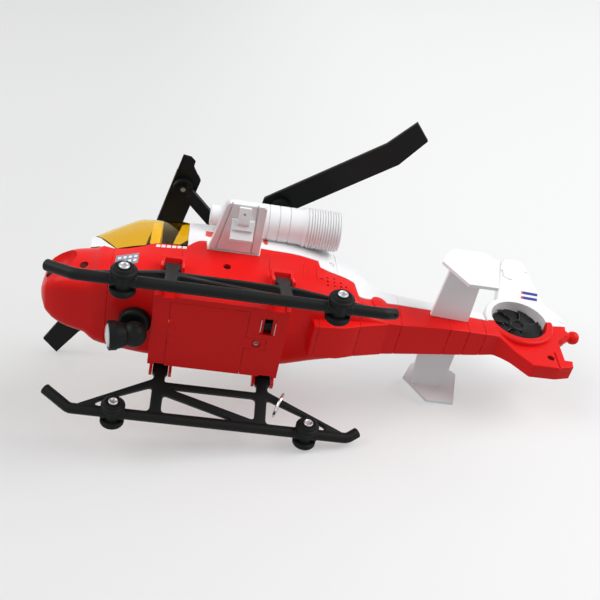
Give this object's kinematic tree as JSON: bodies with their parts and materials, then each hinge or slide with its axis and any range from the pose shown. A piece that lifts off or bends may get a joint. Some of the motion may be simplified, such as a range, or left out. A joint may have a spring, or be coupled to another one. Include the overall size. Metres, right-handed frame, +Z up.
{
  "type": "toy helicopter",
  "caption": "Toy helicopter with a white and red shell, folding rotor blades, ducted tail fan, searchlight, battery box and truss skids on small wheels.",
  "frame": {"origin": "on the ground under the middle of the overall box, wheels standing on Z = 0", "axes": "-X to the nose, -Y to the left side, +Z up"},
  "size_m": [0.4302, 0.2696, 0.181],
  "materials": {
    "red_plastic": "smooth red moulding",
    "white_plastic": "smooth white moulding",
    "black_plastic": "satin black moulding",
    "amber_clear": "clear amber",
    "lens_clear": "clear lens",
    "steel": "bright steel",
    "chrome_wire": "bright chrome",
    "cell_coat": "printed sleeve, stands for a cell's mean density",
    "board_green": "green laminate"
  },
  "bodies": {
    "airframe": {"hull_left": "red_plastic", "hull_right": "red_plastic", "hull_screw_1": "steel", "hull_screw_2": "steel", "hull_screw_3": "steel", "tail_knob": "red_plastic", "belly_box": "red_plastic", "battery_1": "cell_coat", "battery_2": "cell_coat", "battery_3": "cell_coat", "contact_left": "steel", "contact_right": "steel", "circuit_board": "board_green", "speaker": "black_plastic", "upper_hull": "white_plastic", "tail_fin": "white_plastic", "canopy": "amber_clear", "cockpit_tub": "white_plastic", "engine_left": "white_plastic", "engine_right": "white_plastic", "wing_left": "white_plastic", "wing_right": "white_plastic", "wing_clip_left": "white_plastic", "wing_clip_right": "white_plastic", "stabiliser_left": "white_plastic", "stabiliser_right": "white_plastic", "fan_mount": "black_plastic", "fan_axle": "steel", "skid_left": "black_plastic", "skid_right": "black_plastic"},
    "main_rotor": {"rotor_mast": "steel", "rotor_hub": "black_plastic", "blade_pin_1": "steel", "blade_pin_2": "steel", "blade_pin_3": "steel", "blade_pin_4": "steel"},
    "blade_1": {"rotor_blade_1": "black_plastic"},
    "blade_2": {"rotor_blade_2": "black_plastic"},
    "blade_3": {"rotor_blade_3": "black_plastic"},
    "blade_4": {"rotor_blade_4": "black_plastic"},
    "fan": {"tail_fan": "black_plastic"},
    "wheelset_front_left": {"axle_front_left": "steel", "wheel_front_left_inner": "black_plastic", "wheel_front_left_outer": "black_plastic"},
    "wheelset_front_right": {"axle_front_right": "steel", "wheel_front_right_inner": "black_plastic", "wheel_front_right_outer": "black_plastic"},
    "wheelset_rear_left": {"axle_rear_left": "steel", "wheel_rear_left_inner": "black_plastic", "wheel_rear_left_outer": "black_plastic"},
    "wheelset_rear_right": {"axle_rear_right": "steel", "wheel_rear_right_inner": "black_plastic", "wheel_rear_right_outer": "black_plastic"},
    "searchlight_base": {"light_base": "black_plastic"},
    "searchlight_head": {"light_head": "black_plastic", "light_lens": "lens_clear"},
    "door": {"battery_door": "red_plastic", "door_screw": "steel"},
    "switch": {"power_switch": "steel"},
    "ring": {"hook_ring": "chrome_wire"}
  },
  "joints": [
    {"name": "rotor_spin", "type": "hinge", "parent": "airframe", "child": "main_rotor", "pos_m": [-0.0745, 0, 0.165], "axis": [0, 0, 1], "continuous": true},
    {"name": "blade_fold_1", "type": "hinge", "parent": "main_rotor", "child": "blade_1", "pos_m": [-0.03164, -0.03699, 0.165], "axis": [-0.0988, 0.0853, -0.9914], "range_deg": [0, 135]},
    {"name": "blade_fold_2", "type": "hinge", "parent": "main_rotor", "child": "blade_2", "pos_m": [-0.11149, -0.04285, 0.165], "axis": [0.0853, 0.0988, -0.9914], "range_deg": [-126.6, 8.4]},
    {"name": "blade_fold_3", "type": "hinge", "parent": "main_rotor", "child": "blade_3", "pos_m": [-0.11736, 0.03699, 0.165], "axis": [0.0988, -0.0853, -0.9914], "range_deg": [0, 135]},
    {"name": "blade_fold_4", "type": "hinge", "parent": "main_rotor", "child": "blade_4", "pos_m": [-0.03751, 0.04285, 0.165], "axis": [-0.0853, -0.0988, -0.9914], "range_deg": [-40, 95]},
    {"name": "fan_spin", "type": "hinge", "parent": "airframe", "child": "fan", "pos_m": [0.163, 0, 0.089], "axis": [0, 1, 0], "continuous": true},
    {"name": "roll_front_left", "type": "hinge", "parent": "airframe", "child": "wheelset_front_left", "pos_m": [-0.1398, -0.0605, 0.00875], "axis": [0, 1, 0], "continuous": true},
    {"name": "roll_front_right", "type": "hinge", "parent": "airframe", "child": "wheelset_front_right", "pos_m": [-0.1398, 0.0605, 0.00875], "axis": [0, 1, 0], "continuous": true},
    {"name": "roll_rear_left", "type": "hinge", "parent": "airframe", "child": "wheelset_rear_left", "pos_m": [0.002, -0.0605, 0.00875], "axis": [0, 1, 0], "continuous": true},
    {"name": "roll_rear_right", "type": "hinge", "parent": "airframe", "child": "wheelset_rear_right", "pos_m": [0.002, 0.0605, 0.00875], "axis": [0, 1, 0], "continuous": true},
    {"name": "light_pan", "type": "hinge", "parent": "airframe", "child": "searchlight_base", "pos_m": [-0.132, 0, 0.0443], "axis": [0, 0, 1], "range_deg": [-60, 60]},
    {"name": "light_tilt", "type": "hinge", "parent": "searchlight_base", "child": "searchlight_head", "pos_m": [-0.131, 0, 0.0273], "axis": [0, 1, 0], "range_deg": [-30, 15]},
    {"name": "door_hinge", "type": "hinge", "parent": "airframe", "child": "door", "pos_m": [-0.108, 0, 0.034], "axis": [0, 1, 0], "range_deg": [0, 75]},
    {"name": "switch_slide", "type": "slide", "parent": "airframe", "child": "switch", "axis": [0, 1, 0], "range_m": [-0.004, 0.004]},
    {"name": "ring_swing", "type": "hinge", "parent": "airframe", "child": "ring", "pos_m": [-0.01875, 0.05227, 0.02989], "axis": [0.9349, 0.1288, -0.3308], "range_deg": [-40, 40]}
  ]
}
